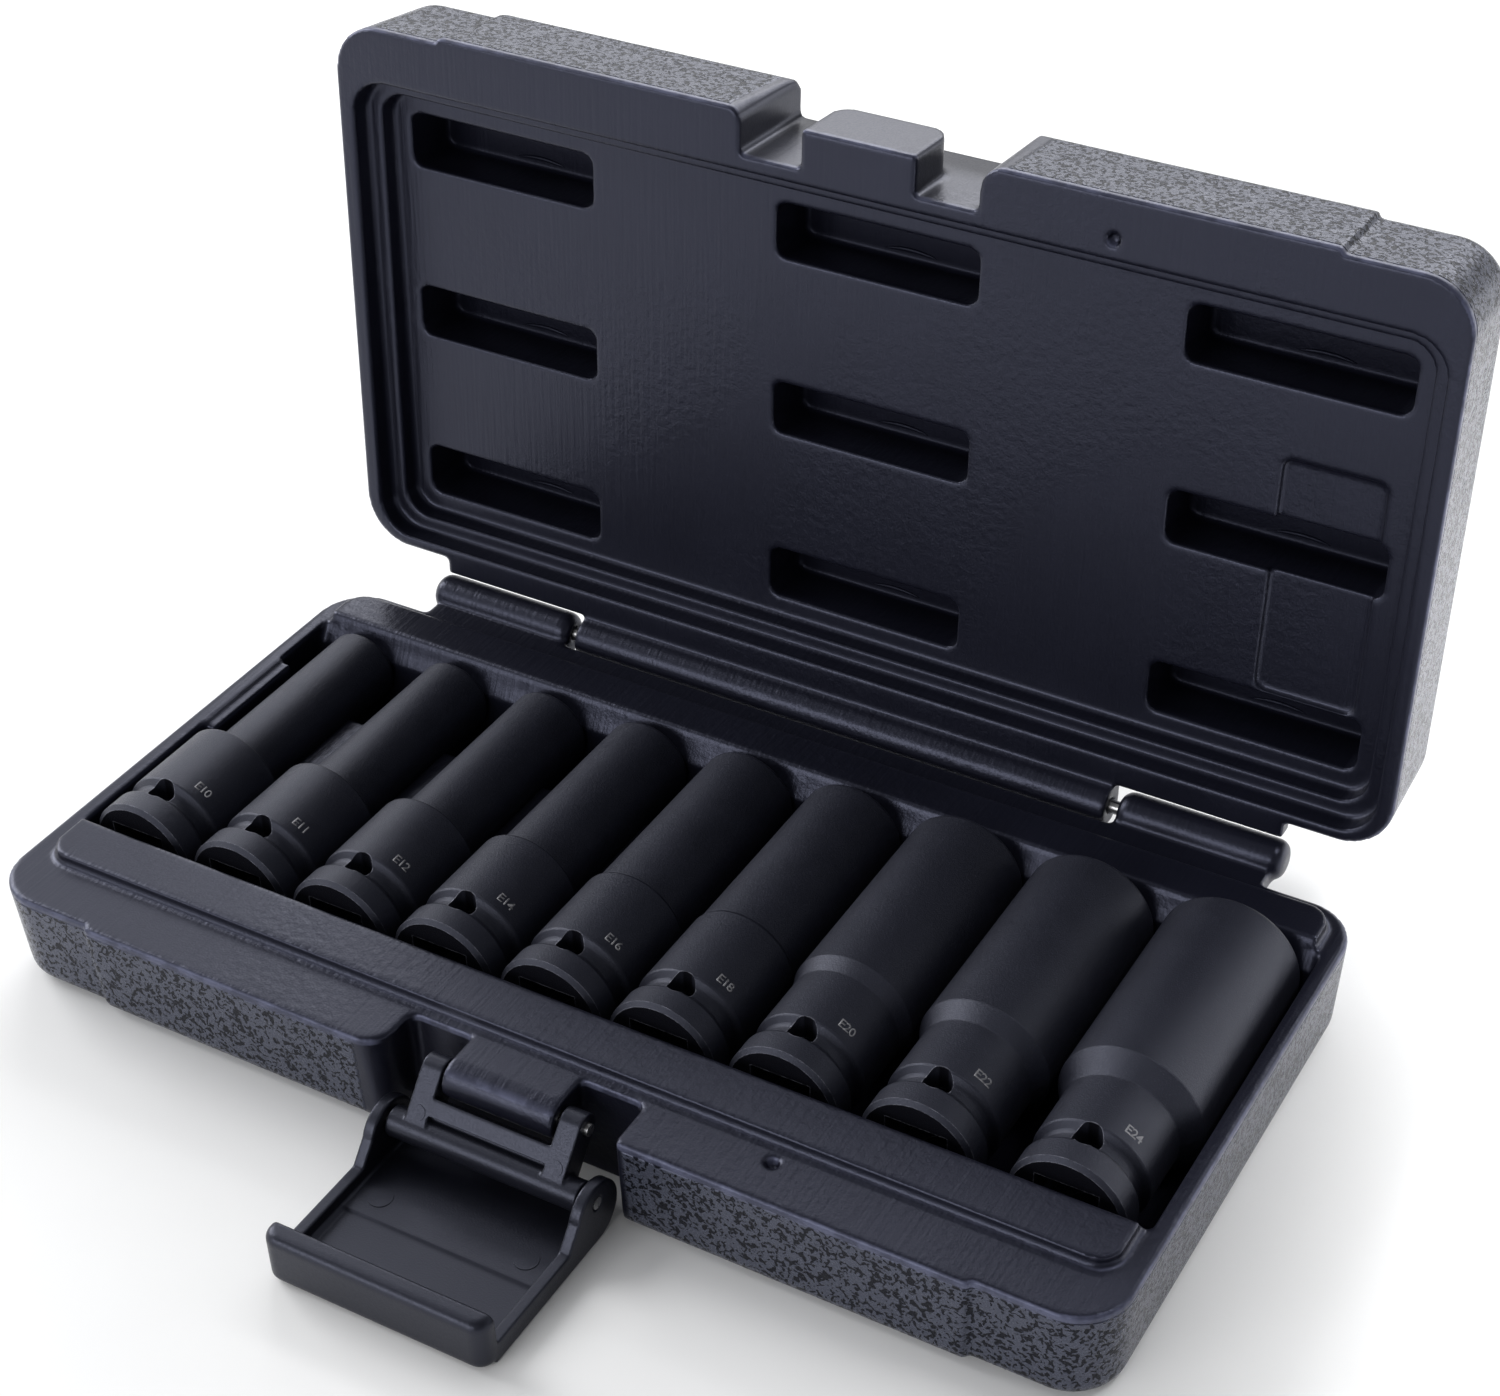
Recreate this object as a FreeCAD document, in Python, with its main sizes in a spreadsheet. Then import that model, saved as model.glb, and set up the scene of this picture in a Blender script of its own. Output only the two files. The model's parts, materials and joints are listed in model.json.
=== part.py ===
"""Nine deep impact sockets in a blow-moulded carrying case.

Millimetres. X runs along the case, Y from its latch to its hinge, Z up. The origin is the centre of
the base's footprint on the surface that it stands on. The case stands open, with the latch laid flat.
"""
import FreeCAD
import Part
import Sketcher
import os
import re

doc = FreeCAD.newDocument("socket_case")

SIZES = [
    # the case
    ("case_length", 250, "length of both halves at the parting plane"),
    ("case_depth", 124, "front to back of both halves at the parting plane"),
    ("base_height", 23, "height of the base half"),
    ("lid_height", 25.5, "height of the lid half"),
    ("rim_gap", 0.3, "gap between the closed rims"),
    ("bulge_length", 197, "length of the raised middle of the front walls"),
    ("bulge_proud", 1.2, "how far that middle stands out"),
    ("corner_radius", 11, "corner radius in plan"),
    ("edge_radius", 4, "radius of the bottom and top outer edges"),
    ("skin_draft", 2.5, "draft of the outer walls in degrees"),
    ("wall", 1.6, "thickness of each of the two walls"),
    ("vent_radius", 1.3, "radius of the blow vent in each half"),
    ("vent_x", 54.5, "place of both vents along the case"),
    ("vent_inset", 9.5, "vents behind the front edge"),
    # the bed for the sockets
    ("bed_half", 121.3, "half width of the bed"),
    ("bed_flare", 4.6, "how far the bed's front and back walls slope out at the top"),
    ("flare_drop", 4, "where that slope ends, under the rim"),
    ("lip_height", 2.5, "raised strips in front of and behind the bed"),
    ("lip_half", 120, "half length of those strips"),
    ("lip_front", 13.6, "front of the front strip behind the front edge"),
    ("lip_back", 120.6, "back of the back strip behind the front edge"),
    ("lip_radius", 5, "plan radius of the strips"),
    ("saddle_front", 69, "front of the saddle under the thin shanks, behind the front edge"),
    ("saddle_length", 20, "length of that saddle along the sockets"),
    ("saddle_top", 7, "top of the saddle under the rim"),
    ("ledge_front", 66, "front of the ledge on the bed's left wall, behind the front edge"),
    ("ledge_length", 27, "length of that ledge"),
    ("ledge_width", 2.8, "width of that ledge"),
    ("ledge_drop", 0.8, "top of that ledge under the rim"),
    ("seat_gap", 0.3, "clearance round a seated socket"),
    # the lid's inside
    ("step_half", 121.2, "half width of the first recess"),
    ("step_front", 13, "front of the first recess behind the front edge"),
    ("step_back", 121.4, "back of the first recess behind the front edge"),
    ("step_drop", 5, "depth of the first recess"),
    ("step_ledge", 3.6, "width of the ledge round the second recess"),
    ("recess_drop", 9.4, "depth of the second recess under the rim"),
    ("step_radius", 8, "corner radius of the recesses"),
    ("pocket_length", 46, "length of a stiffening pocket"),
    ("pocket_width", 11.8, "width of a stiffening pocket"),
    ("pocket_floor", 22.5, "depth of the pockets under the rim"),
    ("pocket_radius", 2.5, "corner radius of the pockets"),
    ("pocket_pitch_x", 90.3, "spacing of the pockets along the case"),
    ("pocket_pitch_y", 39.8, "spacing of the pockets front to back"),
    ("pocket_middle_y", 67.5, "middle row of pockets behind the front edge"),
    ("relief_left", 89.8, "left side of the relief over the largest socket"),
    ("relief_right", 111.3, "right side of that relief"),
    ("relief_front", 48.5, "front of that relief behind the front edge"),
    ("relief_back", 101, "back of that relief behind the front edge"),
    ("relief_drop", 1.3, "depth of that relief under the recess"),
    # the hinge
    ("hinge_back", 8.8, "hinge axis behind the rims' back edge"),
    ("knuckle_radius", 4.4, "radius of the knuckles"),
    ("knuckle_reach", 105, "outer end of the base's knuckles from the middle"),
    ("knuckle_inner", 67.8, "inner end of the base's knuckles from the middle"),
    ("knuckle_gap", 2.2, "gap between the lid's knuckle and the base's"),
    ("knuckle_round", 2.6, "rounding of the base knuckles' ends"),
    ("flange_half", 103, "half length of the flanges along the hinge"),
    ("flange_reach", 3.8, "how far the flanges stand out behind the rims"),
    ("flange_height", 4.2, "height of the flanges"),
    ("hinge_pin_radius", 1.5, "radius of the hinge pin"),
    ("hinge_pin_blind", 7, "plastic left at the blind end of the hinge pin"),
    ("lid_open_angle", 94.35, "opening of the lid in degrees"),
    # the latch
    ("notch_half", 26.4, "half width of the latch recess in both halves"),
    ("notch_drop", 11.3, "depth of the base's latch recess"),
    ("notch_drop_lid", 9.6, "depth of the lid's latch recess"),
    ("notch_round_left", 6, "rounding where the base's front turns into the recess, left"),
    ("notch_round_right", 1.5, "the same, right"),
    ("notch_round_lid_left", 3, "the same in the lid, left"),
    ("notch_round_lid_right", 5, "the same in the lid, right"),
    ("boss_half", 12.3, "half length of the boss that the link turns on"),
    ("boss_radius", 4.1, "radius of that boss"),
    ("boss_drop", 4.3, "axis of that boss under the rim"),
    ("boss_inset", 4.2, "axis of that boss behind the front edge"),
    ("link_length", 12.1, "link's pin to pin length"),
    ("link_arm_inner", 13.1, "inner face of the link's arms from the middle"),
    ("link_arm_outer", 17.8, "outer face of the link's arms from the middle"),
    ("link_arm_width", 6, "width of the link's arms"),
    ("link_barrel_radius", 3.2, "radius of the link's barrel"),
    ("link_least_lean", 20, "least lean of the swung out link, if the lever can't lie flat"),
    ("link_over_centre", 8, "how far the link passes straight down when locked, in degrees"),
    ("crossbar_start", 5, "crossbar from the base pin"),
    ("crossbar_height", 3.5, "height of the crossbar"),
    ("crossbar_depth", 3, "depth of the crossbar"),
    ("lever_half", 24.5, "half width of the lever"),
    ("lever_wall", 2.5, "thickness of the lever's side walls"),
    ("lever_plate", 2, "thickness of the lever's plate"),
    ("lever_pin_height", 9.4, "lever's pin above its outer face"),
    ("lever_lobe_radius", 6.7, "radius of the lever's rounded end"),
    ("lever_rib_height", 4.5, "height of the lever's side walls beyond the ears"),
    ("lever_kink", 10.1, "where the ears end, from the pin"),
    ("lever_hook_reach", 33.2, "pin to the inner face of the hook"),
    ("lever_hook_thickness", 4.2, "thickness of the hook"),
    ("lever_hook_height", 11.8, "height of the hook above the outer face"),
    ("lever_corner_round", 3.2, "rounding of the hook's two upright corners"),
    ("lever_hook_round", 1.9, "rounding of the hook's outer edges"),
    ("lever_thin_start", 17.5, "where the plate's thinner half begins, from the pin"),
    ("lever_thin_drop", 0.5, "how much thinner that half is"),
    ("lever_rest_gap", 0.1, "gap under the lever laid flat"),
    ("lever_side_gap", 0.6, "gap between the lever's ears and the link's barrel, each side"),
    ("hook_clearance", 0.4, "gap between the locked hook and the catch block"),
    ("catch_half", 12.6, "half width of the catch block"),
    ("catch_inset", 1.5, "front of the catch block behind the front edge"),
    ("catch_round", 5, "rounding of the catch block's far corners"),
    ("latch_pin_radius", 1.25, "radius of both latch pins"),
    ("pin_clearance", 0.06, "running clearance round every pin"),
    # the sockets
    ("socket_length", 78, "length of every socket"),
    ("socket_front", 29.2, "drive ends behind the front edge"),
    ("socket_drop", 6, "sockets' axes under the rim"),
    ("socket_spacing", 1.4, "gap between neighbouring sockets"),
    ("first_socket_x", -108.9, "axis of the smallest socket"),
    ("barrel_diameter", 24, "drive end of every socket"),
    ("drive_square", 12.8, "half-inch square drive recess, across its flats"),
    ("drive_depth", 16, "depth of the drive recess"),
    ("drive_chamfer", 0.9, "chamfer of the drive end"),
    ("collar_length", 6, "drive end to the retaining groove"),
    ("groove_width", 5, "width of the retaining groove"),
    ("groove_depth", 1.7, "depth of the retaining groove"),
    ("groove_slope", 1.3, "length of the groove's sloping sides"),
    ("pin_hole_radius", 2.9, "radius of the retaining pin hole"),
    ("groove_round", 1.1, "rounding of the groove's bottom"),
    ("shoulder_round", 0.6, "rounding of the groove's rims and of the change of diameter"),
    ("nose_round", 1.3, "rounding of the bolt end"),
    ("star_depth", 14, "depth of the star profile"),
]

# size, nose diameter, where the change of diameter starts and ends, and the star's
# points and bottoms as diameters
SOCKETS = [
    ("e10", 16.5, 30.6, 31.2, 9.4, 7.0),
    ("e11", 17.3, 30.6, 31.2, 10.1, 7.6),
    ("e12", 18.6, 30.6, 31.2, 11.2, 8.4),
    ("e14", 20.0, 30.6, 31.2, 12.9, 9.7),
    ("e16", 22.0, 30.6, 31.2, 14.8, 11.1),
    ("e18", 23.2, 30.6, 31.2, 16.7, 12.5),
    ("e20", 26.5, 25.0, 28.4, 18.5, 13.9),
    ("e22", 28.0, 24.6, 28.4, 20.3, 15.2),
    ("e24", 30.0, 24.2, 28.8, 22.2, 16.7),
]
for size, nose, start, end, star, core in SOCKETS:
    SIZES += [
        (f"{size}_nose", nose, f"{size} bolt end's diameter"),
        (f"{size}_turn_start", start, f"{size} start of the change of diameter"),
        (f"{size}_turn_end", end, f"{size} end of the change of diameter"),
        (f"{size}_star", star, f"{size} star profile across its points"),
        (f"{size}_core", core, f"{size} star profile across its bottoms, and bore"),
    ]

sheet = doc.addObject("Spreadsheet::Sheet", "Sizes")
for row, (alias, value, meaning) in enumerate(SIZES, 1):
    sheet.set(f"A{row}", meaning)
    sheet.set(f"B{row}", str(value))
    sheet.setAlias(f"B{row}", alias)
doc.recompute()
ALIASES = {alias for alias, value, meaning in SIZES}

# Places that several pieces share, as formulas of the sheet's cells
RIM = "base_height"
FRONT = "(-case_depth / 2)"
BACK = "(case_depth / 2)"
HINGE_Y = "(case_depth / 2 + hinge_back)"
BOSS_Y = "(-case_depth / 2 + boss_inset)"
BOSS_Z = "(base_height - boss_drop)"
LEVER_PIN_Z = (f"max(lever_pin_height + lever_rest_gap; "
               f"{BOSS_Z} - link_length * cos(link_least_lean))")
LINK_ANGLE = f"acos(({BOSS_Z} - {LEVER_PIN_Z}) / link_length)"
LEVER_PIN_Y = f"({BOSS_Y} - link_length * sin({LINK_ANGLE}))"
SOCKET_Y = "(-case_depth / 2 + socket_front)"
SOCKET_Z = "(base_height - socket_drop)"
BED_FLOOR = "(socket_drop + barrel_diameter / 2 + seat_gap)"
LOCKED_PIN_Z = f"({BOSS_Z} - link_length * cos(link_over_centre))"
CATCH_TOP = f"({LOCKED_PIN_Z} + lever_hook_reach - hook_clearance)"
LID_RIM = "(base_height + rim_gap)"


def sized(text):
    """Puts the sheet's name before each of its aliases in a formula."""
    return re.sub(r"[a-z][a-z0-9_]*", lambda word: f"Sizes.{word.group()}"
                  if word.group() in ALIASES else word.group(), text)


def number(alias):
    return float(sheet.get(alias))


def bind(thing, **formulas):
    for name, text in formulas.items():
        thing.setExpression(name, sized(text))


def place(thing, x="0", y="0", z="0"):
    for letter, text in zip("xyz", (x, y, z)):
        thing.setExpression(f"Placement.Base.{letter}", sized(text))


# ---------------------------------------------------------------- plain solids and booleans

def box(name, x, y, z):
    """A box between two formulas on each axis."""
    block = doc.addObject("Part::Box", name)
    bind(block, Length=f"({x[1]}) - ({x[0]})", Width=f"({y[1]}) - ({y[0]})",
         Height=f"({z[1]}) - ({z[0]})")
    place(block, x[0], y[0], z[0])
    return block


TURNS = {
    "x": FreeCAD.Rotation(FreeCAD.Vector(0, 1, 0), 90),
    "y": FreeCAD.Rotation(FreeCAD.Vector(1, 0, 0), -90),
    "z": FreeCAD.Rotation(),
}


def rod(name, axis, radius, start, end, x="0", y="0", z="0"):
    """A cylinder along an axis from one formula to another, through x, y, z on the other two."""
    round_bar = doc.addObject("Part::Cylinder", name)
    bind(round_bar, Radius=radius, Height=f"({end}) - ({start})")
    round_bar.Placement = FreeCAD.Placement(FreeCAD.Vector(), TURNS[axis])
    centre = {"x": x, "y": y, "z": z}
    centre[axis] = start
    place(round_bar, **centre)
    return round_bar


def fuse(name, parts):
    joined = doc.addObject("Part::MultiFuse", name)
    joined.Shapes = parts
    joined.Refine = True
    return joined


def cut(name, base, tools):
    carved = doc.addObject("Part::Cut", name)
    carved.Base = base
    carved.Tool = tools[0] if len(tools) == 1 else fuse(f"{name}_tools", tools)
    carved.Refine = True
    return carved


def middle(edge):
    return edge.valueAt((edge.FirstParameter + edge.LastParameter) / 2)


def runs_along(edge, axis):
    """True for a straight edge along an axis."""
    if not isinstance(edge.Curve, (Part.Line, Part.LineSegment)):
        return False
    ends = [vertex.Point for vertex in edge.Vertexes]
    return len(ends) == 2 and abs((ends[1] - ends[0]).normalize().dot(axis)) > 0.999


def rounded(name, base, radius, choose):
    """A fillet of the edges that the choose function picks."""
    doc.recompute()
    picked = [index for index, edge in enumerate(base.Shape.Edges, 1) if choose(edge)]
    if not picked:
        raise RuntimeError(f"{name} has no edge to round")
    fillet = doc.addObject("Part::Fillet", name)
    fillet.Base = base
    fillet.Edges = [(index, radius, radius) for index in picked]
    return fillet


X_AXIS = FreeCAD.Vector(1, 0, 0)
Y_AXIS = FreeCAD.Vector(0, 1, 0)
Z_AXIS = FreeCAD.Vector(0, 0, 1)


def upright(edge):
    return runs_along(edge, Z_AXIS)


# ---------------------------------------------------------------- sketched bodies

def origin_plane(body, role):
    return next(item for item in body.Origin.OriginFeatures if item.Role == role)


def outline(body, name, role, corners, offset="0"):
    """A closed straight-sided sketch on one of the body's planes, each corner two formulas."""
    sketch = body.newObject("Sketcher::SketchObject", name)
    sketch.AttachmentSupport = [(origin_plane(body, role), "")]
    sketch.MapMode = "FlatFace"
    bind(sketch, **{"AttachmentOffset.Base.z": offset})
    count = len(corners)
    # any start does, because each corner's place is fixed by its two distances
    start = [FreeCAD.Vector(10 + index, 5 + index * index, 0) for index in range(count)]
    for index in range(count):
        sketch.addGeometry(Part.LineSegment(start[index], start[(index + 1) % count]), False)
    for index in range(count):
        sketch.addConstraint(Sketcher.Constraint("Coincident", index, 2, (index + 1) % count, 1))
    for index, (across, along) in enumerate(corners):
        for kind, text in (("DistanceX", across), ("DistanceY", along)):
            which = sketch.addConstraint(Sketcher.Constraint(kind, -1, 1, index, 1, 1.0 + index))
            sketch.setExpression(f"Constraints[{which}]", sized(text))
    return sketch


def disc(body, name, role, radius, across="0", along="0", offset="0"):
    """A circle sketched on one of the body's planes."""
    sketch = body.newObject("Sketcher::SketchObject", name)
    sketch.AttachmentSupport = [(origin_plane(body, role), "")]
    sketch.MapMode = "FlatFace"
    bind(sketch, **{"AttachmentOffset.Base.z": offset})
    sketch.addGeometry(Part.Circle(FreeCAD.Vector(1, 1, 0), FreeCAD.Vector(0, 0, 1), 2), False)
    for kind, text in (("DistanceX", across), ("DistanceY", along)):
        which = sketch.addConstraint(Sketcher.Constraint(kind, -1, 1, 0, 3, 1.0))
        sketch.setExpression(f"Constraints[{which}]", sized(text))
    which = sketch.addConstraint(Sketcher.Constraint("Radius", 0, 2.0))
    sketch.setExpression(f"Constraints[{which}]", sized(radius))
    return sketch


def sketched(body, kind, name, sketch, length, reverse=False, draft=None):
    """A Pad or a Pocket of a sketch."""
    feature = body.newObject(f"PartDesign::{kind}", name)
    feature.Profile = sketch
    feature.Type = 0
    feature.Reversed = reverse
    bind(feature, Length=length)
    if draft:
        bind(feature, TaperAngle=draft)
    return feature


def prism(name, corners, low, high):
    """A body with one profile in Y and Z, from one X to another."""
    body = doc.addObject("PartDesign::Body", name)
    sketch = outline(body, f"{name}_profile", "YZ_Plane", corners, low)
    sketched(body, "Pad", f"{name}_pad", sketch, f"({high}) - ({low})")
    return body


# ---------------------------------------------------------------- outer skins of the halves

def skin(name, rim, height, upward, inset):
    """One half's outer form, or with an inset the form of the air inside its walls.

    A drafted block with rounded corners, and the front's raised middle as a second block."""
    half = f"(case_length / 2 - {inset})"
    front = f"({FRONT} + bulge_proud + {inset})"
    back = f"({BACK} - {inset})"
    body = doc.addObject("PartDesign::Body", f"{name}_block")
    plan = [(f"-{half}", front), (half, front), (half, back), (f"-{half}", back)]
    sketch = outline(body, f"{name}_plan", "XY_Plane", plan, rim)
    pad = sketched(body, "Pad", f"{name}_pad", sketch, height, reverse=not upward,
                   draft="-skin_draft")
    doc.recompute()

    slanted = [f"Edge{index}" for index, edge in enumerate(pad.Shape.Edges, 1)
               if abs(edge.Vertexes[0].Z - edge.Vertexes[-1].Z) > 1]
    corners = body.newObject("PartDesign::Fillet", f"{name}_corners")
    corners.Base = (pad, slanted)
    bind(corners, Radius=f"corner_radius - {inset}")
    doc.recompute()
    far = max if upward else min
    level = far(vertex.Z for vertex in corners.Shape.Vertexes)
    outer = [f"Edge{index}" for index, edge in enumerate(corners.Shape.Edges, 1)
             if abs(middle(edge).z - level) < 0.01]
    edges = body.newObject("PartDesign::Fillet", f"{name}_edges")
    edges.Base = (corners, outer)
    bind(edges, Radius=f"edge_radius - {inset} / 2")

    bulge = doc.addObject("PartDesign::Body", f"{name}_bulge")
    reach = f"(bulge_length / 2 - {inset})"
    nose = f"({FRONT} + {inset})"
    behind = f"({FRONT} + {inset} + 4 * edge_radius)"
    strip = [(f"-{reach}", nose), (reach, nose), (reach, behind), (f"-{reach}", behind)]
    sketch = outline(bulge, f"{name}_strip", "XY_Plane", strip, rim)
    pad = sketched(bulge, "Pad", f"{name}_strip_pad", sketch, height, reverse=not upward,
                   draft="-skin_draft")
    doc.recompute()
    lowest_y = min(vertex.Y for vertex in pad.Shape.Vertexes if abs(vertex.Z - level) < 0.01)
    outer = [f"Edge{index}" for index, edge in enumerate(pad.Shape.Edges, 1)
             if abs(middle(edge).z - level) < 0.01 and abs(middle(edge).y - lowest_y) < 0.01]
    rounding = bulge.newObject("PartDesign::Fillet", f"{name}_strip_edge")
    rounding.Base = (pad, outer)
    bind(rounding, Radius=f"edge_radius - {inset} / 2")
    return fuse(name, [body, bulge])


def rounded_box(name, x, y, z, radius):
    """A box with its upright edges rounded."""
    return rounded(f"{name}_rounded", box(name, x, y, z), radius, upright)


def turned_in(name, x_edge, outward, radius, z, depth=FRONT):
    """The waste that a rounded corner leaves where the front wall turns into a recess."""
    far = f"({x_edge} + {outward} * {radius})"
    low, high = (x_edge, far) if outward > 0 else (far, x_edge)
    waste = box(f"{name}_waste", (low, high), (f"{depth} - {radius}", f"{depth} + {radius}"), z)
    round_bar = rod(f"{name}_round", "z", radius, z[0], z[1], x=far, y=f"({depth} + {radius})")
    return cut(name, waste, [round_bar])


# ---------------------------------------------------------------- the sockets' places

def socket_places():
    """Each socket's name and a formula for its axis, one gap apart at their widest."""
    places = []
    centre = "first_socket_x"
    wide = None
    for size, *rest in SOCKETS:
        widest = f"max(barrel_diameter; {size}_nose)"
        if wide:
            centre = f"{centre} + ({wide} + {widest}) / 2 + socket_spacing"
        places.append((size, f"({centre})"))
        wide = widest
    return places


PLACES = socket_places()


def seats(name, grow):
    """The round grooves that the sockets lie in."""
    grooves = []
    for size, centre in PLACES:
        grooves.append(rod(f"{name}_{size}_barrel", "y", f"barrel_diameter / 2 + seat_gap + {grow}",
                           f"{SOCKET_Y} - seat_gap", f"{SOCKET_Y} + {size}_turn_end + seat_gap",
                           x=centre, z=SOCKET_Z))
        grooves.append(rod(f"{name}_{size}_nose", "y", f"{size}_nose / 2 + seat_gap + {grow}",
                           f"{SOCKET_Y} + {size}_turn_start - seat_gap",
                           f"{SOCKET_Y} + socket_length + seat_gap", x=centre, z=SOCKET_Z))
    return grooves


def bed(name, grow):
    """The open space over the sockets: an upright well whose ends slope out at the top."""
    front = f"({SOCKET_Y} - seat_gap - {grow})"
    back = f"({SOCKET_Y} + socket_length + seat_gap + {grow})"
    floor = f"({RIM} - {BED_FLOOR} - {grow})"
    top = f"({RIM} + lip_height + wall)"
    flare_z = f"({RIM} - flare_drop - {grow})"
    profile = [(front, floor), (back, floor), (back, flare_z), (f"{back} + bed_flare", top),
               (f"{front} - bed_flare", top), (front, flare_z)]
    return prism(name, profile, f"-bed_half - {grow}", f"bed_half + {grow}")


# ---------------------------------------------------------------- base

def base_shell():
    outer = skin("base_skin", RIM, "base_height", False, "0")
    lip_z = (f"{RIM} - wall", f"{RIM} + lip_height")
    well_front = f"({SOCKET_Y} + corner_radius)"
    front_lip = rounded_box("front_lip", ("-lip_half", "lip_half"),
                            (f"{FRONT} + lip_front", well_front), lip_z, number("lip_radius"))
    back_lip = rounded_box("back_lip", ("-lip_half", "lip_half"),
                           (f"{SOCKET_Y} + socket_length - corner_radius",
                            f"{FRONT} + lip_back"), lip_z, number("lip_radius"))
    flange = box("base_flange", ("-flange_half", "flange_half"),
                 (f"{BACK} - wall", f"{BACK} + flange_reach"),
                 (f"{RIM} - flange_height", RIM))
    knuckles = []
    for side, sign in (("left", "-"), ("right", "")):
        ends = [f"{sign}knuckle_inner", f"{sign}knuckle_reach"]
        low, high = ends if not sign else ends[::-1]
        barrel = rod(f"base_knuckle_{side}", "x", "knuckle_radius", low, high, y=HINGE_Y, z=RIM)
        knuckles.append(rounded(f"base_knuckle_{side}_ends", barrel, number("knuckle_round"),
                                lambda edge: edge.BoundBox.XLength < 0.01))
        web_ends = [f"{sign}knuckle_inner", f"{sign}flange_half"]
        low, high = web_ends if not sign else web_ends[::-1]
        knuckles.append(box(f"base_web_{side}", (low, high), (f"{BACK} - wall", HINGE_Y),
                            (f"{RIM} - knuckle_radius", f"{RIM} - rim_gap")))
    solid = fuse("base_solid", [outer, front_lip, back_lip, flange] + knuckles)

    # the bed, less the saddle under the thin shanks and the ledge beside them
    saddle = box("saddle", ("-bed_half", dict(PLACES)["e18"]),
                 (f"{FRONT} + saddle_front", f"{FRONT} + saddle_front + saddle_length"),
                 (f"{RIM} - {BED_FLOOR} - wall", f"{RIM} - saddle_top"))
    ledge = box("bed_ledge", ("-bed_half - wall", "-bed_half + ledge_width"),
                (f"{FRONT} + ledge_front", f"{FRONT} + ledge_front + ledge_length"),
                (f"{RIM} - {BED_FLOOR} - wall", f"{RIM} - ledge_drop"))
    hollow = cut("bed_hollow", bed("bed_well", "0"), [saddle, ledge])

    # the latch recess, round the boss and its web
    notch_z = ("-wall", f"{RIM} + wall")
    recess = rounded_box("base_notch", ("-notch_half", "notch_half"),
                         (f"{FRONT} - 2 * corner_radius", f"{FRONT} + notch_drop"),
                         notch_z, number("edge_radius") / 2)
    boss = rod("boss", "x", "boss_radius", "-boss_half", "boss_half", y=BOSS_Y, z=BOSS_Z)
    web = box("boss_web", ("-boss_half", "boss_half"), (BOSS_Y, f"{FRONT} + notch_drop + wall"),
              (f"{BOSS_Z} - boss_radius", RIM))
    notch = cut("base_notch_open", recess, [boss, web])
    left = turned_in("notch_left", "-notch_half", -1, "notch_round_left", notch_z)
    right = turned_in("notch_right", "notch_half", 1, "notch_round_right", notch_z)

    bores = [
        rod("boss_bore", "x", "latch_pin_radius + pin_clearance", "-link_arm_outer",
            "link_arm_outer", y=BOSS_Y, z=BOSS_Z),
        rod("hinge_bore", "x", "hinge_pin_radius + pin_clearance", "-knuckle_reach - wall",
            "knuckle_reach - hinge_pin_blind + pin_clearance", y=HINGE_Y, z=RIM),
        rod("base_vent", "z", "vent_radius", f"{RIM} - 2 * wall", f"{RIM} + wall",
            x="vent_x", y=f"{FRONT} + vent_inset"),
    ]
    air = cut("base_air", skin("base_inner", f"{RIM} - wall", "base_height - 2 * wall", False,
                               "wall"),
              [bed("bed_wall", "wall"), box("base_notch_wall", ("-notch_half - wall",
                                                               "notch_half + wall"),
                                            (f"{FRONT} - wall", f"{FRONT} + notch_drop + wall"),
                                            notch_z),
               box("left_round_wall", ("-notch_half - notch_round_left", "-notch_half"),
                   (f"{FRONT} - wall", f"{FRONT} + notch_round_left + wall"), notch_z)]
              + seats("seat_wall", "wall"))
    return cut("base_shell", solid,
               [hollow, notch, left, right, air] + bores + seats("seat", "0"))


# ---------------------------------------------------------------- lid, built closed

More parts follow.
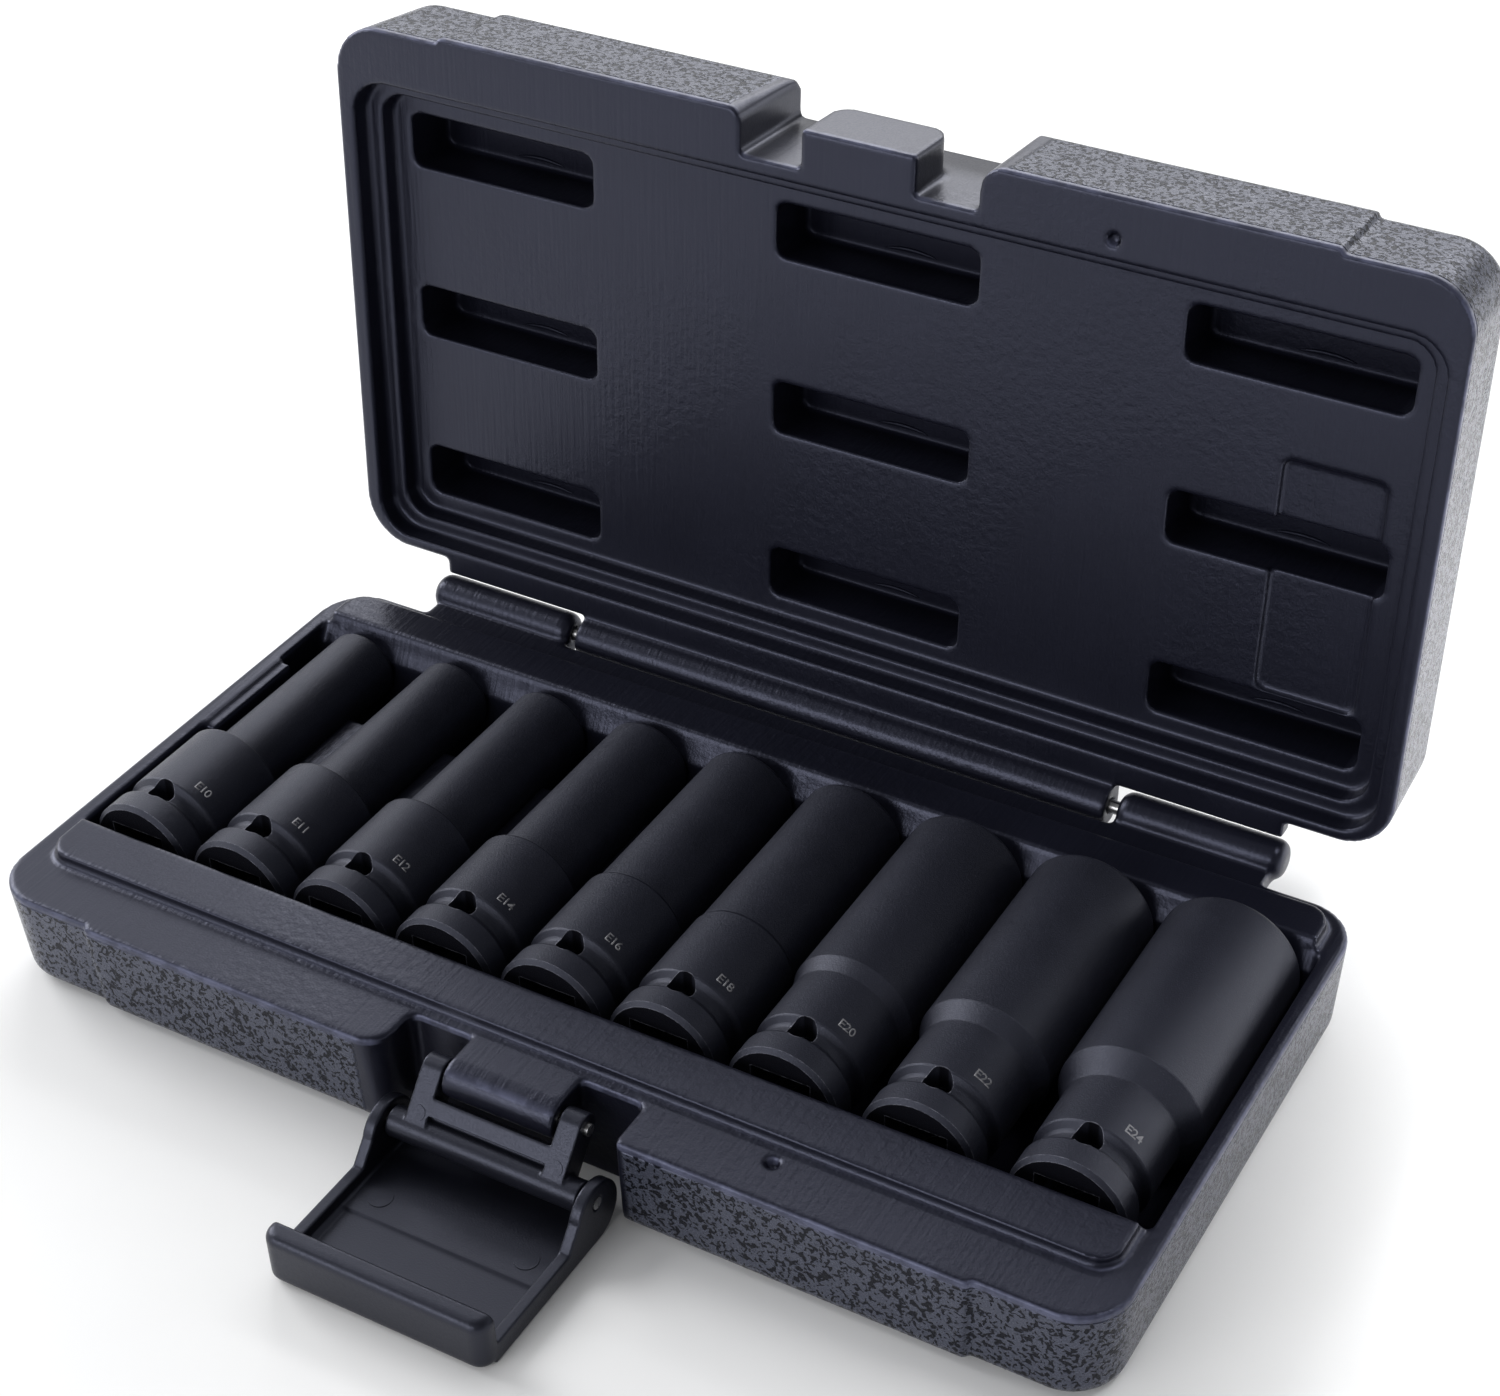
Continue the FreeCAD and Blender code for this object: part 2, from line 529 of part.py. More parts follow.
def lid_shell():
    outer = skin("lid_skin", LID_RIM, "lid_height", True, "0")
    barrel_half = "(knuckle_inner - knuckle_gap)"
    barrel = rod("lid_knuckle", "x", "knuckle_radius", f"-{barrel_half}", barrel_half,
                 y=HINGE_Y, z=RIM)
    web = box("lid_web", (f"-{barrel_half}", barrel_half), (f"{BACK} - wall", HINGE_Y),
              (LID_RIM, f"{RIM} + knuckle_radius"))
    flange = box("lid_flange", ("-flange_half", "flange_half"),
                 (f"{BACK} - wall", f"{BACK} + flange_reach"),
                 (LID_RIM, f"{LID_RIM} + flange_height"))
    solid = fuse("lid_solid", [outer, barrel, web, flange])

    below = f"({LID_RIM} - wall)"

    def recesses(name, grow, radius):
        step_x = f"(step_half + {grow})"
        step_y = (f"({FRONT} + step_front - {grow})", f"({FRONT} + step_back + {grow})")
        step = rounded_box(f"{name}_step", (f"-{step_x}", step_x), step_y,
                           (below, f"{LID_RIM} + step_drop + {grow}"), radius)
        deep_x = f"({step_x} - step_ledge)"
        deep_y = (f"({step_y[0]} + step_ledge)", f"({step_y[1]} - step_ledge)")
        deep = rounded_box(f"{name}_deep", (f"-{deep_x}", deep_x), deep_y,
                           (below, f"{LID_RIM} + recess_drop + {grow}"), radius - 2)
        relief = rounded_box(f"{name}_relief",
                             (f"relief_left - {grow}", f"relief_right + {grow}"),
                             (f"{FRONT} + relief_front - {grow}",
                              f"{FRONT} + relief_back + {grow}"),
                             (f"{LID_RIM} + step_drop",
                              f"{LID_RIM} + recess_drop + relief_drop + {grow}"),
                             number("pocket_radius"))
        found = [step, deep, relief]
        for column in (-1, 0, 1):
            for row in (-1, 0, 1):
                x = f"{column} * pocket_pitch_x"
                y = f"{FRONT} + pocket_middle_y + {row} * pocket_pitch_y"
                found.append(rounded_box(
                    f"{name}_pocket_{column + 2}{row + 2}",
                    (f"{x} - pocket_length / 2 - {grow}", f"{x} + pocket_length / 2 + {grow}"),
                    (f"{y} - pocket_width / 2 - {grow}", f"{y} + pocket_width / 2 + {grow}"),
                    (f"{LID_RIM} + step_drop", f"{LID_RIM} + pocket_floor + {grow}"),
                    number("pocket_radius")))
        return found

    notch_z = (below, f"{LID_RIM} + lid_height + wall")
    recess = rounded_box("lid_notch", ("-notch_half", "notch_half"),
                         (f"{FRONT} - 2 * corner_radius", f"{FRONT} + notch_drop_lid"),
                         notch_z, number("pocket_radius") / 2)
    catch = box("catch", ("-catch_half", "catch_half"),
                (f"{FRONT} + catch_inset", f"{FRONT} + notch_drop_lid + wall"),
                (below, CATCH_TOP))
    catch_top = rounded("catch_rounded", catch, number("catch_round"),
                        lambda edge: edge.BoundBox.ZMin > number("base_height") + 5
                        and not runs_along(edge, X_AXIS))
    notch = cut("lid_notch_open", recess, [catch_top])
    turns = [turned_in(f"lid_notch_{side}", f"{sign}notch_half", outward,
                       f"notch_round_lid_{side}", notch_z)
             for side, sign, outward in (("left", "-", -1), ("right", "", 1))]
    bores = [
        rod("lid_bore", "x", "hinge_pin_radius + pin_clearance", f"-{barrel_half} - wall",
            f"{barrel_half} + wall", y=HINGE_Y, z=RIM),
        rod("lid_vent", "z", "vent_radius", f"{LID_RIM} - wall", f"{LID_RIM} + 2 * wall",
            x="vent_x", y=f"{FRONT} + vent_inset - wall / 2"),
    ]
    air = cut("lid_air", skin("lid_inner", f"{LID_RIM} + wall", "lid_height - 2 * wall", True,
                              "wall"),
              recesses("wall", "wall", number("step_radius"))
              + [box("lid_notch_wall", ("-notch_half - wall - notch_round_lid_left",
                                        "notch_half + wall + notch_round_lid_right"),
                     (f"{FRONT} - wall", f"{FRONT} + notch_drop_lid + wall"), notch_z)])
    lid = cut("lid_shell", solid,
              recesses("open", "0", number("step_radius")) + [notch, air] + turns + bores)
    # opened about the hinge
    lid.Placement = FreeCAD.Placement(FreeCAD.Vector(), FreeCAD.Rotation(FreeCAD.Vector(1, 0, 0), -90))
    bind(lid, **{"Placement.Rotation.Angle": "-lid_open_angle"})
    turn_y = f"{HINGE_Y} - {HINGE_Y} * cos(lid_open_angle) - {RIM} * sin(lid_open_angle)"
    turn_z = f"{RIM} + {HINGE_Y} * sin(lid_open_angle) - {RIM} * cos(lid_open_angle)"
    place(lid, y=turn_y, z=turn_z)
    return lid


# ---------------------------------------------------------------- latch

def latch_link():
    """Built hanging from the base pin, then swung out."""
    arms = []
    for side, sign in (("left", "-"), ("right", "")):
        ends = [f"{sign}link_arm_inner", f"{sign}link_arm_outer"]
        low, high = ends if not sign else ends[::-1]
        arms.append(box(f"link_arm_{side}", (low, high), ("-link_arm_width / 2", "link_arm_width / 2"),
                        ("-link_length", "0")))
        arms.append(rod(f"link_eye_{side}", "x", "link_arm_width / 2", low, high))
    barrel_half = "(lever_half - lever_wall - lever_side_gap)"
    barrel = rod("link_barrel", "x", "link_barrel_radius", f"-{barrel_half}", barrel_half,
                 z="-link_length")
    crossbar = box("link_crossbar", ("-link_arm_outer", "link_arm_outer"),
                   ("-link_arm_width / 2", "-link_arm_width / 2 + crossbar_depth"),
                   ("-crossbar_start - crossbar_height", "-crossbar_start"))
    bores = [
        rod("link_base_bore", "x", "latch_pin_radius + pin_clearance", "-lever_half", "lever_half"),
        rod("link_lever_bore", "x", "latch_pin_radius + pin_clearance", "-lever_half",
            "lever_half", z="-link_length"),
    ]
    link = cut("latch_link", fuse("link_solid", arms + [barrel, crossbar]), bores)
    link.Placement = FreeCAD.Placement(FreeCAD.Vector(), FreeCAD.Rotation(FreeCAD.Vector(1, 0, 0), -40))
    bind(link, **{"Placement.Rotation.Angle": f"-{LINK_ANGLE}"})
    place(link, y=BOSS_Y, z=BOSS_Z)
    return link


def latch_lever():
    """Built about its pin, lying flat with the hook towards -Y."""
    face = "(-lever_pin_height)"
    rib_top = "(-lever_pin_height + lever_rib_height)"
    lobe_z = "(-lever_pin_height + lever_lobe_radius)"
    shoulder_y = "(-lever_lobe_radius * sin(27))"
    shoulder_z = f"({lobe_z} + lever_lobe_radius * cos(27))"
    hook_y = "(-lever_hook_reach - lever_hook_thickness)"
    in_hook_y = "(-lever_hook_reach - lever_hook_thickness / 5)"
    side = prism("lever_side", [("0", face), ("0", shoulder_z), (shoulder_y, shoulder_z),
                                ("-lever_kink", rib_top), (in_hook_y, rib_top),
                                (in_hook_y, face)], "-lever_half", "lever_half")
    lobe = rod("lever_lobe", "x", "lever_lobe_radius", "-lever_half", "lever_half", z=lobe_z)
    hook = box("lever_hook", ("-lever_half", "lever_half"), (hook_y, "-lever_hook_reach"),
               (face, f"{face} + lever_hook_height"))
    outer = -number("lever_hook_reach") - number("lever_hook_thickness")
    corners = rounded("lever_hook_corners", hook, number("lever_corner_round"),
                      lambda edge: runs_along(edge, Z_AXIS) and middle(edge).y < outer + 0.01)
    hook_rounded = rounded("lever_hook_rounded", corners, number("lever_hook_round"),
                           lambda edge: edge.BoundBox.ZLength < 0.01
                           and edge.BoundBox.YMin < outer + number("lever_corner_round") - 0.01)
    inner = "(lever_half - lever_wall)"
    inside = box("lever_inside", (f"-{inner}", inner), ("-lever_hook_reach", "2 * lever_lobe_radius"),
                 (f"{face} + lever_plate", "2 * lever_lobe_radius"))
    thin = box("lever_thin", (f"-{inner} + lever_thin_drop", f"{inner} - lever_thin_drop"),
               ("-lever_hook_reach", "-lever_thin_start"),
               (f"{face} + lever_plate - lever_thin_drop", f"{face} + 2 * lever_plate"))
    bore = rod("lever_bore", "x", "latch_pin_radius + pin_clearance", "-lever_half - wall",
               "lever_half + wall")
    hollow = cut("lever_hollow", fuse("lever_block", [side, lobe]), [inside])
    lever = cut("latch_lever", fuse("lever_solid", [hollow, hook_rounded]), [thin, bore])
    place(lever, y=LEVER_PIN_Y, z=LEVER_PIN_Z)
    return lever


def pins():
    return [
        rod("hinge_pin", "x", "hinge_pin_radius", "-knuckle_reach + wall",
            "knuckle_reach - hinge_pin_blind", y=HINGE_Y, z=RIM),
        rod("latch_base_pin", "x", "latch_pin_radius", "-link_arm_outer - wall / 2",
            "link_arm_outer + wall / 2", y=BOSS_Y, z=BOSS_Z),
        rod("latch_lever_pin", "x", "latch_pin_radius", "-lever_half", "lever_half",
            y=LEVER_PIN_Y, z=LEVER_PIN_Z),
    ]


# ---------------------------------------------------------------- sockets

def ring_fillet(body, name, base, radius, places):
    """Rounds the circular edges at those places along a turned body."""
    doc.recompute()
    rings = [f"Edge{index}" for index, edge in enumerate(base.Shape.Edges, 1)
             if edge.BoundBox.YLength < 0.01
             and min(abs(edge.CenterOfMass.y - place) for place in places) < 0.01]
    fillet = body.newObject("PartDesign::Fillet", name)
    fillet.Base = (base, rings)
    bind(fillet, Radius=radius)
    return fillet


def socket(size, centre):
    """One socket about its own axis, drive end at the origin, bolt end towards +Y."""
    body = doc.addObject("PartDesign::Body", f"socket_{size}")
    barrel = "(barrel_diameter / 2)"
    nose = f"({size}_nose / 2)"
    groove = f"({barrel} - groove_depth)"
    groove_end = "(collar_length + groove_width)"
    profile = [("0", "0"), (f"{barrel} - drive_chamfer", "0"), (barrel, "drive_chamfer"),
               (barrel, "collar_length"), (groove, "collar_length + groove_slope"),
               (groove, f"{groove_end} - groove_slope"), (barrel, groove_end),
               (barrel, f"{size}_turn_start"), (nose, f"{size}_turn_end"),
               (nose, "socket_length"), ("0", "socket_length")]
    sketch = outline(body, f"{size}_profile", "XY_Plane", profile)
    turned = body.newObject("PartDesign::Revolution", f"{size}_turned")
    turned.Profile = sketch
    turned.ReferenceAxis = (sketch, ["V_Axis"])
    turned.Angle = 360
    doc.recompute()
    groove_start = number("collar_length")
    groove_stop = groove_start + number("groove_width")
    slope = number("groove_slope")
    changes = [number(f"{size}_turn_start"), number(f"{size}_turn_end")]
    turned = ring_fillet(body, f"{size}_nose_round", turned, "nose_round",
                         [number("socket_length")])
    turned = ring_fillet(body, f"{size}_shoulders", turned, "shoulder_round",
                         [groove_start, groove_stop] + changes)
    turned = ring_fillet(body, f"{size}_groove", turned, "groove_round",
                         [groove_start + slope, groove_stop - slope])

    # XZ sketches face -Y, so a pocket runs towards +Y and a reversed one towards -Y
    half = "(drive_square / 2)"
    square = outline(body, f"{size}_square", "XZ_Plane",
                     [(f"-{half}", f"-{half}"), (half, f"-{half}"), (half, half), (f"-{half}", half)])
    sketched(body, "Pocket", f"{size}_drive", square, "drive_depth")
    bore = disc(body, f"{size}_bore_circle", "XZ_Plane", f"{size}_core / 2",
                offset="-socket_length")
    sketched(body, "Pocket", f"{size}_bore", bore, "socket_length - drive_depth + wall / 2",
             reverse=True)
    point = disc(body, f"{size}_point_circle", "XZ_Plane", f"({size}_star - {size}_core) / 2",
                 across=f"{size}_core / 2", offset="-socket_length")
    lobe = sketched(body, "Pocket", f"{size}_point", point, "star_depth", reverse=True)
    star = body.newObject("PartDesign::PolarPattern", f"{size}_star_points")
    star.Originals = [lobe]
    star.Axis = (origin_axis(body), [""])
    star.Angle = 360
    star.Occurrences = 6
    body.Tip = star
    hole = disc(body, f"{size}_pin_circle", "XY_Plane", "pin_hole_radius",
                along="collar_length + groove_width / 2", offset="-barrel_diameter")
    sketched(body, "Pocket", f"{size}_pin_hole", hole, "2 * barrel_diameter", reverse=True)
    place(body, centre, SOCKET_Y, SOCKET_Z)
    return body


def origin_axis(body):
    return next(item for item in body.Origin.OriginFeatures if item.Role == "Y_Axis")


# ---------------------------------------------------------------- build, check and write

pieces = [base_shell(), lid_shell(), latch_link(), latch_lever()] + pins()
pieces += [socket(size, centre) for size, centre in PLACES]
doc.recompute()

faults = [f"{item.Name}: {item.State}" for item in doc.Objects
          if {"Invalid", "Error"} & set(item.State)]
for piece in pieces:
    shape = piece.Shape
    if shape.isNull() or not shape.isValid() or len(shape.Solids) != 1:
        faults.append(f"{piece.Label}: null, invalid or {len(shape.Solids)} solids")
if faults:
    raise RuntimeError("; ".join(faults))

os.makedirs("parts", exist_ok=True)
for piece in pieces:
    piece.Shape.exportStep(os.path.join("parts", f"{piece.Label}.step"))
    spread = piece.Shape.optimalBoundingBox(False, False)
    print(f"{piece.Label:16s} volume {piece.Shape.Volume / 1000:8.2f} cm3  "
          f"x {spread.XMin:7.1f} {spread.XMax:7.1f}  y {spread.YMin:7.1f} {spread.YMax:7.1f}  "
          f"z {spread.ZMin:7.1f} {spread.ZMax:7.1f}")
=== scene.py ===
"""The looks of the socket set in its case: moulded halves, latch, sockets, light and camera."""
import json
import math

import bmesh
import bpy
import numpy as np
from mathutils import Matrix, Vector

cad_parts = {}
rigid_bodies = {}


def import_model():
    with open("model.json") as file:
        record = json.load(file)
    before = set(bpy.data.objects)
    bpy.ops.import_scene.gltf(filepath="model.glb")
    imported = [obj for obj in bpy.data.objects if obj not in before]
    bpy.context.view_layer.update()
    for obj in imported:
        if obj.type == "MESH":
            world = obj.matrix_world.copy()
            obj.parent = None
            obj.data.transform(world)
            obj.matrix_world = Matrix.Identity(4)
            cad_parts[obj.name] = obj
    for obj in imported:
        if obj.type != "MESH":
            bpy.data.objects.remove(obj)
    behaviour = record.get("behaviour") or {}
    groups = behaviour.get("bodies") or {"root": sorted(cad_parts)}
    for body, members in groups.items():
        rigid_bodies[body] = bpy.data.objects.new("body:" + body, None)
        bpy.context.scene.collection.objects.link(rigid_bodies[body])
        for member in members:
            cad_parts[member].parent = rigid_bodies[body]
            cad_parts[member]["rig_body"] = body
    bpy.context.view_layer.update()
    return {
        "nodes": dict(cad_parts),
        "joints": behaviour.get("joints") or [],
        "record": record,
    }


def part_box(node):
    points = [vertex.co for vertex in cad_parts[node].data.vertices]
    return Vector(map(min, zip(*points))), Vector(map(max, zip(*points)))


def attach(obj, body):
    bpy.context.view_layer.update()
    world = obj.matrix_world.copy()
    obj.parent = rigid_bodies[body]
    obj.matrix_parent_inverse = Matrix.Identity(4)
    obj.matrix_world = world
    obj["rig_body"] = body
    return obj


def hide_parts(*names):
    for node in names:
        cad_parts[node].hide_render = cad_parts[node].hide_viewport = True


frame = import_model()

MM = 0.001
nodes = frame["nodes"]
joints = {joint["name"]: joint for joint in frame["joints"]}
SIZES = ("e10", "e11", "e12", "e14", "e16", "e18", "e20", "e22", "e24")

# ---------------------------------------------------------------- places, from the frame

base_low, base_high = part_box("base_shell")
HINGE = Vector(joints["lid_hinge"]["pos_m"])
LID_OPEN = math.radians(-joints["lid_hinge"]["range_deg"][0])
HALF_LENGTH = base_high.x
HALF_DEPTH = -base_low.y
BASE_RIM = HINGE.z
LID_RIM = BASE_RIM + 0.3 * MM
LID_HEIGHT = 25.5 * MM
CORNER_RADIUS = 11 * MM                 # of the case in plan
POCKET_DEPTH = 22.5 * MM                # from the lid's rim to its pockets' floors
WALL = 1.6 * MM
VENT = Vector((54.5 * MM, -HALF_DEPTH + 9.5 * MM, 0))
VENT_RADIUS = 1.3 * MM
PLATE = 2 * MM                          # thickness of the lever's plate
BARREL_RADIUS = 12 * MM                 # of each socket's drive end
AXIS_DROP = 6 * MM                      # from the base's rim down to the sockets' axes
SHUT = (Matrix.Translation(HINGE) @ Matrix.Rotation(LID_OPEN, 4, "X")
        @ Matrix.Translation(-HINGE))
OPENED = SHUT.inverted()


# ---------------------------------------------------------------- node materials

class Nodes:
    """A material's node tree, with short calls that add nodes and join them."""

    def __init__(self, name):
        self.material = bpy.data.materials.new(name)
        self.material.use_nodes = True
        self.tree = self.material.node_tree
        self.tree.nodes.clear()
        self.out = self.add("ShaderNodeOutputMaterial")

    def add(self, kind, settings=None, **inputs):
        node = self.tree.nodes.new(kind)
        for name, value in (settings or {}).items():
            setattr(node, name, value)
        for name, value in inputs.items():
            socket = node.inputs[int(name[1:])] if name[1:].isdigit() else \
                node.inputs[name.replace("_", " ")]
            if isinstance(value, bpy.types.NodeSocket):
                self.tree.links.new(value, socket)
            else:
                socket.default_value = value
        return node

    def position(self):
        return self.add("ShaderNodeTexCoord").outputs["Object"]

    def stretch(self, scale, place=None):
        """A place, or else the position, scaled for a pattern that runs one way."""
        return self.add("ShaderNodeMapping", Vector=place or self.position(),
                        Scale=scale).outputs[0]

    def noise(self, size, detail=2.0, roughness=0.5, distortion=0.0, vector=None):
        """Noise between 0 and 1 whose features are about that size in metres."""
        return self.add("ShaderNodeTexNoise", Vector=vector or self.position(), Scale=1 / size,
                        Detail=detail, Roughness=roughness, Distortion=distortion).outputs["Fac"]

    def ramp(self, value, low, high, start=0.0, end=1.0):
        """value from low to high becomes start to end, smoothly and held at both."""
        return self.add("ShaderNodeMapRange", {"interpolation_type": "SMOOTHSTEP"}, Value=value,
                        From_Min=low, From_Max=high, To_Min=start, To_Max=end).outputs[0]

    def math(self, operation, a, b=0.0):
        return self.add("ShaderNodeMath", {"operation": operation}, i0=a, i1=b).outputs[0]

    def mix(self, amount, a, b):
        """Colour a where amount is 0 and b where it is 1."""
        node = self.add("ShaderNodeMix", {"data_type": "RGBA"})
        for socket, value in zip((node.inputs[0], node.inputs[6], node.inputs[7]), (amount, a, b)):
            if isinstance(value, bpy.types.NodeSocket):
                self.tree.links.new(value, socket)
            else:
                socket.default_value = value
        return node.outputs[2]

    def edges(self, radius):
        """1 on sharp outer edges and corners, 0 on flats."""
        soft = self.add("ShaderNodeBevel", {"samples": 6}, Radius=radius).outputs[0]
        flat = self.add("ShaderNodeNewGeometry").outputs["Normal"]
        along = self.add("ShaderNodeVectorMath", {"operation": "DOT_PRODUCT"}, i0=soft, i1=flat)
        return self.math("SUBTRACT", 1.0, along.outputs["Value"])

    def plan_inset(self, x, y):
        """How far a point lies inside the case's outline in plan, which has round corners."""
        across = self.math("SUBTRACT", self.math("ABSOLUTE", x), HALF_LENGTH - CORNER_RADIUS)
        along = self.math("SUBTRACT", self.math("ABSOLUTE", y), HALF_DEPTH - CORNER_RADIUS)
        corner = self.math("SQRT", self.math(
            "ADD", self.math("POWER", self.math("MAXIMUM", across, 0.0), 2.0),
            self.math("POWER", self.math("MAXIMUM", along, 0.0), 2.0)))
        straight = self.math("MINIMUM", self.math("MAXIMUM", across, along), 0.0)
        return self.math("SUBTRACT", CORNER_RADIUS, self.math("ADD", corner, straight))

    def bump(self, height, distance, strength=1.0, normal=None):
        inputs = {"Normal": normal} if normal else {}
        return self.add("ShaderNodeBump", Height=height, Distance=distance, Strength=strength,
                        **inputs).outputs[0]

    def surface(self, **inputs):
        shader = self.add("ShaderNodeBsdfPrincipled", **inputs)
        self.tree.links.new(shader.outputs[0], self.out.inputs["Surface"])
        return self.material


def colour(r, g, b):
    return (r, g, b, 1.0)


def case_plastic(name, shut, rim, away, height, smooth):
    """Blow-moulded polyethylene: leather grain outside, satin inside, a pale seam band that is
    partly real wear and partly painted highlight.

    shut turns a point to where it lies with the case shut. away is 1 where the half
    reaches up from its rim and -1 where it reaches down. The front stays smooth between
    the two places in smooth, round the latch's recess."""
    n = Nodes(name)
    place = n.add("ShaderNodeMapping", Vector=n.position(), Location=shut.to_translation(),
                  Rotation=shut.to_euler()).outputs[0]
    facing = n.add("ShaderNodeMapping", {"vector_type": "VECTOR"}, Rotation=shut.to_euler(),
                   Vector=n.add("ShaderNodeTexCoord").outputs["Normal"]).outputs[0]
    x, y, z = n.add("ShaderNodeSeparateXYZ", Vector=place).outputs
    facing_x, facing_y, facing_z = n.add("ShaderNodeSeparateXYZ", Vector=facing).outputs
    depth = n.math("MULTIPLY", n.math("SUBTRACT", z, rim), away)
    inset = n.plan_inset(x, y)
    outward = n.math("ADD", n.math("MULTIPLY", facing_x, n.math("DIVIDE", x, HALF_LENGTH)),
                     n.math("MULTIPLY", facing_y, n.math("DIVIDE", y, HALF_DEPTH)))
    outward = n.math("MAXIMUM", outward, n.math("MULTIPLY", facing_z, away))

    # where the grain lies: on the walls and the broad face, clear of the latch and the hinge
    walls = n.math("MULTIPLY", n.ramp(inset, 8 * MM, 7 * MM),
                   n.math("MULTIPLY", n.ramp(depth, 1.4 * MM, 2 * MM), n.ramp(outward, 0.1, 0.4)))
    bottom = n.ramp(depth, height - 0.9 * MM, height - 0.5 * MM)
    left = n.ramp(x, smooth[0] - 1 * MM, smooth[0], 1, 0)
    right = n.ramp(x, smooth[1], smooth[1] + 1 * MM)
    behind = n.ramp(y, -HALF_DEPTH + 12 * MM, -HALF_DEPTH + 13 * MM)
    clear = n.math("MAXIMUM", n.math("MAXIMUM", left, right), behind)
    before_hinge = n.ramp(y, HALF_DEPTH + 0.1 * MM, HALF_DEPTH + 0.5 * MM, 1, 0)
    grain = n.math("MULTIPLY", n.math("MAXIMUM", walls, bottom),
                   n.math("MULTIPLY", clear, before_hinge))
    # the seam band on the outer wall just under the rim: partly real wear on the parting line,
    # partly painted highlight of the rounded edge
    seam = n.math("MULTIPLY", n.ramp(depth, 1.7 * MM, 1.3 * MM), n.ramp(outward, 0.25, 0.7))
    seam = n.math("MULTIPLY", seam, n.math("MULTIPLY", before_hinge,
                                           n.ramp(depth, -0.5 * MM, -0.1 * MM)))

    pits = n.ramp(n.noise(1.0 * MM, 0.4, distortion=0.9), 0.465, 0.41)
    fine = n.noise(0.45 * MM, 3)
    cloud = n.noise(14 * MM, 3)
    streaks = n.noise(0.9 * MM, 1, vector=n.stretch((1, 0.05, 0.05), place))
    scales = n.noise(1.8 * MM, 2)

    satin = n.mix(cloud, colour(0.0040, 0.0042, 0.0080), colour(0.0072, 0.0076, 0.0140))
    skin = n.mix(pits, colour(0.045, 0.049, 0.068), colour(0.006, 0.0064, 0.009))
    # painted highlight mixed with real wear: the seam band is lightened to a pale blue-grey in
    # noisy patches
    wear_and_highlight = n.math("MULTIPLY", seam, n.ramp(n.noise(5 * MM, 4), 0.4, 0.6, 0.45, 1.0))
    tone = n.mix(wear_and_highlight, n.mix(grain, satin, skin), colour(0.075, 0.08, 0.125))

    raised = n.math("MULTIPLY", grain, n.math("SUBTRACT", 1.0, pits))
    scales = n.math("MULTIPLY", scales, n.ramp(n.noise(40 * MM, 1), 0.45, 0.6, 0.3, 1.6))
    streaks = n.math("MULTIPLY", streaks, n.ramp(outward, 0.6, 0.3, 0.25, 1))
    normal = n.bump(raised, 0.35 * MM, 1.0)
    normal = n.bump(n.math("ADD", scales, streaks), 0.12 * MM, 0.6, normal)
    normal = n.bump(fine, 0.04 * MM, 0.5, normal)
    rough = n.math("ADD", n.ramp(fine, 0.3, 0.7, 0.3, 0.38), n.math("MULTIPLY", grain, -0.08))

    # painted shade: the specular is turned down deep in the pockets and in the grain's pits
    pocket = n.math("MULTIPLY", n.ramp(depth, 12 * MM, 20 * MM), n.ramp(inset, 8 * MM, 9 * MM))
    pitted = n.math("MULTIPLY", grain, pits)
    shine = n.math("SUBTRACT", 0.5, n.math("MULTIPLY", 0.34, pocket))
    shine = n.math("MULTIPLY", shine, n.math("SUBTRACT", 1.0, n.math("MULTIPLY", pitted, 0.7)))
    return n.surface(Base_Color=tone, Roughness=rough, Normal=normal, Specular_IOR_Level=shine,
                     Specular_Tint=colour(0.68, 0.72, 1.0))


def latch_plastic():
    """Injection-moulded plastic with a fine spark-eroded texture."""
    n = Nodes("latch_plastic")
    fine = n.noise(0.4 * MM, detail=3, roughness=0.6)
    cloud = n.noise(9 * MM, detail=2)
    tone = n.mix(cloud, colour(0.0042, 0.0046, 0.0075), colour(0.0085, 0.009, 0.0135))
    rough = n.ramp(fine, 0.3, 0.7, 0.3, 0.42)
    return n.surface(Base_Color=tone, Roughness=rough, Normal=n.bump(fine, 0.06 * MM, 0.6),
                     Specular_Tint=colour(0.72, 0.76, 1.0))


def pin_steel():
    n = Nodes("pin_steel")
    lines = n.noise(0.4 * MM, detail=3, vector=n.stretch((0.05, 1, 1)))
    tone = n.mix(lines, colour(0.3, 0.3, 0.31), colour(0.55, 0.55, 0.56))
    return n.surface(Base_Color=tone, Metallic=1.0, Roughness=n.ramp(lines, 0.3, 0.7, 0.25, 0.45))


